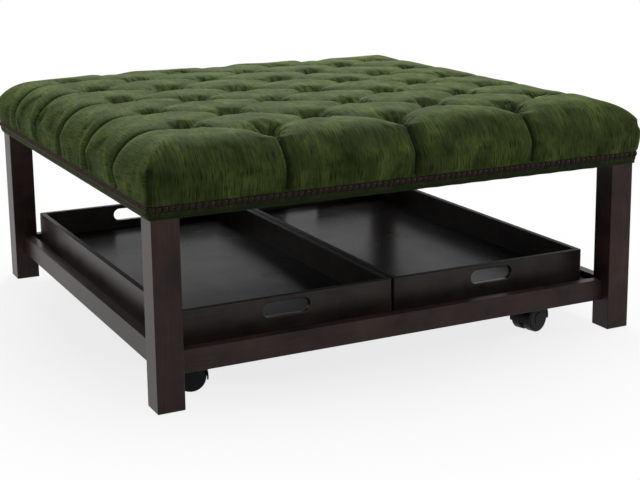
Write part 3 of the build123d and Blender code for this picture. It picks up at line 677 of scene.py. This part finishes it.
def room_to_frame(x, y, z):
    """How far the cover may sink before it meets the aprons and the deck, nearest at their corners."""
    dx, dy = abs(x) - APRON, abs(y) - APRON
    room = (math.hypot(dx, dy) if min(dx, dy) > 0 else max(dx, dy)) - FRAME_CLEAR
    return room + ABOVE_SINK * ease((z - ABOVE_DECK) / ABOVE_IN)


def cushion_place(co):
    """Where a point of the straight-sided start lies on the finished cushion.

    It gives the place, how dark its fold is painted as shade, its place on the flat cloth, how firmly it is
    held, and the way into a small fold.
    """
    ring = round(-co.z / RING_STEP)
    if ring:
        s = EDGE + (reach - EDGE) * (ring / RINGS)
    else:
        s = max(abs(co.x) * EDGE / EDGE_X, abs(co.y) * EDGE / EDGE_Y)
    r, z, nr, nz = on_section(s)
    front = abs(co.y) * EDGE_X >= abs(co.x) * EDGE_Y
    if ring:
        x, y = spread_to_corner(co.x, EDGE_X, r), spread_to_corner(co.y, EDGE_Y, r)
        x = math.copysign(r, x) if abs(co.x) > EDGE_X - 1e-5 else x
        y = math.copysign(r, y) if abs(co.y) > EDGE_Y - 1e-5 else y
    else:
        x, y = co.x, co.y
    cloth = (x, math.copysign(s, y)) if front else (math.copysign(s, x), y)
    normal = Vector((0, math.copysign(1, y))) if front else Vector((math.copysign(1, x), 0))
    x, y, normal = round_corner(x, y, z, r, ring > 0, normal)
    from_settled = math.hypot(x + SETTLED_AT, y - SETTLED_AT)
    z -= SETTLED * ease(1 - from_settled / SETTLED_WIDE) * ease((z - SETTLED_Z) / SETTLED_IN)
    top, pucker = drop_on_top(x, y) if r < TUFTED_TO else (0.0, 0.0)
    side = 0.0
    if s > SIDES_FROM and front:
        side = pleat_drop(x, front_pleats, LAST_Y * TUFT_Y, s)
    elif s > SIDES_FROM:
        side = pleat_drop(y, side_pleats, LAST_X * TUFT_X, s)
    flap, line = corner_flap(x, y, z, front) if r > FLAP_FROM and z > BAND_HIGH else (0.0, 0.0)
    body = noise.noise(Vector((x * WADDING_RATE, y * WADDING_RATE, z * WADDING_RATE)))
    body = body * WADDING * ease((z - BAND_HIGH) / WADDING_FADE)
    push = top + side - flap - body
    if r > FRAME_FROM:
        push = min(push, room_to_frame(x, y, z))
    out = Vector((normal.x * nr, normal.y * nr, nz)).normalized()
    # painted shade under the band, where the hem turns in: darker towards its edge
    under = HEM_SHADE + HEM_SHADE_MORE * ease((BAND_LOW - z) / HEM_SHADE_IN) if z < BAND_LOW else 0.0
    # the painted shade of each place: in a dimple, a side pleat, the line of the corner's pleat, the hem
    # under the band or a small fold
    deep = max((top - FOLD_TOP_FROM) / FOLD_TOP_FULL, side / FOLD_SIDE_FULL, line, under, pucker, 0.0)
    place = Vector((x, y, z)) - out * push
    return place, min(1.0, deep), cloth, held_here(x, y, z, side), out * pucker


bpy.ops.mesh.primitive_grid_add(x_subdivisions=CELLS_X, y_subdivisions=CELLS_Y, size=2, location=(0, 0, 0))
cover = bpy.context.object
cover.name = "velvet_cover"
cover.data.name = "velvet_cover"
mesh = cover.data
bpy.ops.object.mode_set(mode="EDIT")
bpy.ops.transform.resize(value=(EDGE_X, EDGE_Y, 1), center_override=(0, 0, 0))
bpy.ops.mesh.select_mode(type="EDGE")
bpy.ops.mesh.select_all(action="DESELECT")
bpy.ops.mesh.select_non_manifold()
for ring in range(RINGS):
    bpy.ops.mesh.extrude_edges_move(TRANSFORM_OT_translate={"value": (0, 0, -RING_STEP)})
bpy.ops.object.mode_set(mode="OBJECT")

# extruding orders the faces differently each run, and how the cloth swells depends on their order, so they
# are sorted
points = [v.co.copy() for v in mesh.vertices]
faces = []
for face in mesh.polygons:
    loop = list(face.vertices)
    first = loop.index(min(loop))
    faces.append(loop[first:] + loop[:first])
mesh.clear_geometry()
mesh.from_pydata(points, [], sorted(faces))

# painted shade in the folds, kept on each point for the velvet to darken by
fold_shade_layer = mesh.attributes.new("painted_fold_shade", "FLOAT", "POINT")
cloth_places, held, puckers = [], [], []
for v in mesh.vertices:
    v.co, deep, cloth, firm, pucker = cushion_place(v.co)
    fold_shade_layer.data[v.index].value = deep
    cloth_places.append(cloth)
    held.append(firm)
    puckers.append(pucker)

# the cloth's own directions: it runs on over each edge of the top and down that side
uv_layer = mesh.uv_layers.new(name="cloth").data
for face in mesh.polygons:
    middle = face.center
    front = abs(middle.y) >= abs(middle.x)
    for index in face.loop_indices:
        corner = mesh.loops[index].vertex_index
        u, v = cloth_places[corner]
        x, y = mesh.vertices[corner].co.xy
        if front and abs(u) > abs(v):
            u, v = x, math.copysign(u, y)
        elif not front and abs(v) > abs(u):
            u, v = math.copysign(v, x), y
        uv_layer[index].uv = (u, v)

# the wadding swells the loose cloth between the buttons, pleats and nails that hold it
start = [v.co.copy() for v in mesh.vertices]
group = cover.vertex_groups.new(name="held")
for index, firm in enumerate(held):
    group.add([index], firm, "REPLACE")
swell = cover.modifiers.new("swell", "CLOTH")
swell.settings.vertex_group_mass = "held"
swell.settings.mass = CLOTH_MASS
swell.settings.quality = 4
swell.settings.use_pressure = True
swell.settings.uniform_pressure_force = CLOTH_PRESSURE
swell.settings.shrink_min = CLOTH_SPARE
swell.settings.effector_weights.gravity = 0
swell.collision_settings.use_collision = False
for step in range(1, CLOTH_STEPS + 1):
    scene.frame_set(step)
bpy.ops.object.modifier_apply(modifier="swell")
for v, place in zip(mesh.vertices, start):
    move = v.co - place
    inner = ease((CLOTH_SIDE_FROM - max(abs(place.x), abs(place.y))) / CLOTH_SIDE_IN)
    most = CLOTH_MOST_SIDE + (CLOTH_MOST_TOP - CLOTH_MOST_SIDE) * inner
    if move.length > most:
        v.co = place + move * (most / move.length)
cover.vertex_groups.clear()
for v, pucker in zip(mesh.vertices, puckers):
    v.co -= pucker * FOLD_DEEP

# the edge is turned in to the aprons, and the inside runs up them, in over the deck, up the foam and over it
inside = [(APRON + 0.0002, HEM_Z), (APRON + 0.0002, DECK_TOP + 0.0005),
          (FOAM + 0.0004, DECK_TOP + 0.0005), (FOAM + 0.0004, FOAM_TOP + 0.0003)]
bpy.ops.object.mode_set(mode="EDIT")
bpy.ops.mesh.select_all(action="DESELECT")
bpy.ops.mesh.select_non_manifold()
half_now, z_now = HEM_EDGE, HEM_Z
for half, z in inside:
    bpy.ops.mesh.extrude_edges_move()
    bpy.ops.transform.resize(value=(half / half_now, half / half_now, 1.0), center_override=(0, 0, 0))
    bpy.ops.transform.translate(value=(0, 0, z - z_now))
    half_now, z_now = half, z
bpy.ops.mesh.edge_face_add()
bpy.ops.mesh.select_all(action="SELECT")
bpy.ops.mesh.normals_make_consistent(inside=False)
bpy.ops.object.mode_set(mode="OBJECT")
bpy.ops.object.shade_smooth()
mesh.materials.append(velvet)
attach(cover, "table")
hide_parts("tufted_cover")


# Dust cover: thin black cloth stapled under the frame, notched round the legs, with a slight sag

UNDER_SIDE, UNDER_Z, UNDER_THICK, UNDER_CELLS = 1.016, 0.3447, 0.0004, 80
# how far the notch stays off the leg, and half a millimetre that tells its edge from the next line of cells
NOTCH_CLEAR, NOTCH_NEAR = 0.0008, 0.0005
# the sag and its waves, and the edge where the staples hold the cloth
SAG, WAVE, WAVE_RATE, SAG_FROM, SAG_IN = 0.0016, 0.0012, 7, 0.506, 0.10
STAPLE_PITCH, STAPLE_PULL, STAPLE_FROM = 0.0508, 0.0004, 0.47

bpy.ops.mesh.primitive_grid_add(x_subdivisions=UNDER_CELLS, y_subdivisions=UNDER_CELLS, size=UNDER_SIDE,
                                location=(0, 0, 0))
under_cloth = bpy.context.object
under_cloth.name = "dust_cloth"
under_cloth.data.name = "dust_cloth"
bpy.ops.object.mode_set(mode="EDIT")
bpy.ops.mesh.select_all(action="DESELECT")
bpy.ops.object.mode_set(mode="OBJECT")
for face in under_cloth.data.polygons:
    face.select = min(abs(face.center.x), abs(face.center.y)) > LEG_IN
bpy.ops.object.mode_set(mode="EDIT")
bpy.ops.mesh.delete(type="FACE")
bpy.ops.object.mode_set(mode="OBJECT")
for v in under_cloth.data.vertices:
    x, y = v.co.xy
    if min(abs(x), abs(y)) > LEG_IN - NOTCH_NEAR:
        x, y = [math.copysign(abs(c) - NOTCH_CLEAR, c) if abs(c) < LEG_IN + NOTCH_NEAR else c for c in (x, y)]
    loose = ease((SAG_FROM - max(abs(x), abs(y))) / SAG_IN)
    pull = 0.0
    if max(abs(x), abs(y)) > STAPLE_FROM:
        along = x if abs(y) > abs(x) else y
        pull = STAPLE_PULL * (1 + math.cos(math.tau * along / STAPLE_PITCH))
    wave = noise.noise(Vector((x * WAVE_RATE, y * WAVE_RATE, 0))) * WAVE
    v.co = (x, y, UNDER_Z - loose * (SAG + wave) - pull)
thick = under_cloth.modifiers.new("thick", "SOLIDIFY")
thick.thickness = UNDER_THICK
thick.offset = -1
bpy.ops.object.modifier_apply(modifier="thick")
bpy.ops.object.shade_smooth()
under_cloth.data.materials.append(dust_cloth)
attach(under_cloth, "table")
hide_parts("dust_cover")


# Floor, backdrop and light

def seen_rays(tree):
    """1 for rays from the camera, and for those that gloss or glass sends on, which see the bare backdrop."""
    light_path = node(tree, "ShaderNodeLightPath")
    camera_ray, glossy_ray, glass_ray = [light_path.outputs[f"Is {kind} Ray"]
                                         for kind in ("Camera", "Glossy", "Transmission")]
    some = node(tree, "ShaderNodeMath", [(camera_ray, 0), (glossy_ray, 1)], operation="MAXIMUM")
    seen = node(tree, "ShaderNodeMath", [(some.outputs[0], 0), (glass_ray, 1)], operation="MAXIMUM")
    return seen.outputs[0]


bpy.ops.mesh.primitive_plane_add(size=40, location=(0, 0, 0))
floor = bpy.context.object
floor.name = "floor"
paper, tree, shader = new_material("white_paper_sweep")
shader.inputs["Base Color"].default_value = tone("f4f4f4")
shader.inputs["Roughness"].default_value = 0.9
shader.inputs["Specular IOR Level"].default_value = 0.1
glow = node(tree, "ShaderNodeEmission", i_Color=(1, 1, 1, 1), i_Strength=1.0)
# the paper is bare white from about a metre off, and keeps the table's shadow nearer to it
place = node(tree, "ShaderNodeTexCoord")
away = node(tree, "ShaderNodeVectorMath", [(place.outputs["Object"], 0)], operation="LENGTH")
bare = node(tree, "ShaderNodeMapRange", [(away.outputs["Value"], 0)], i_1=0.50, i_2=1.05, i_3=0.80, i_4=1.0)
part = node(tree, "ShaderNodeMath", [(seen_rays(tree), 0), (bare.outputs[0], 1)], operation="MULTIPLY")
mixed = node(tree, "ShaderNodeMixShader",
             [(part.outputs[0], 0), (shader.outputs[0], 1), (glow.outputs[0], 2)])
tree.links.new(mixed.outputs[0], tree.nodes["Material Output"].inputs["Surface"])
floor.data.materials.append(paper)

world = bpy.data.worlds.new("studio")
scene.world = world
world.use_nodes = True
tree = world.node_tree
background = tree.nodes["Background"]
background.inputs["Color"].default_value = (1, 1, 1, 1)
power = node(tree, "ShaderNodeMapRange", [(seen_rays(tree), 0)], i_3=0.13, i_4=1.0)
tree.links.new(power.outputs[0], background.inputs["Strength"])


def soft_light(name, place, aim, size, watts):
    data = bpy.data.lights.new(name, "AREA")
    data.energy = watts
    data.size = size
    lamp = bpy.data.objects.new(name, data)
    scene.collection.objects.link(lamp)
    lamp.location = place
    lamp.rotation_euler = (Vector(aim) - Vector(place)).to_track_quat("-Z", "Y").to_euler()


soft_light("key", (0.9, 2.3, 2.3), (0, 0, 0.4), 1.3, 62)
soft_light("top", (0.6, 0.3, 3.4), (0, 0, 0.3), 2.2, 43)
soft_light("side", (3.2, -1.0, 1.2), (0.4, -0.3, 0.35), 1.4, 23)
soft_light("front", (0.6, -3.2, 2.4), (0.0, -0.4, 0.30), 1.6, 9)
soft_light("left", (-3.0, 0.4, 2.5), (-0.4, 0, 0.35), 1.6, 15)
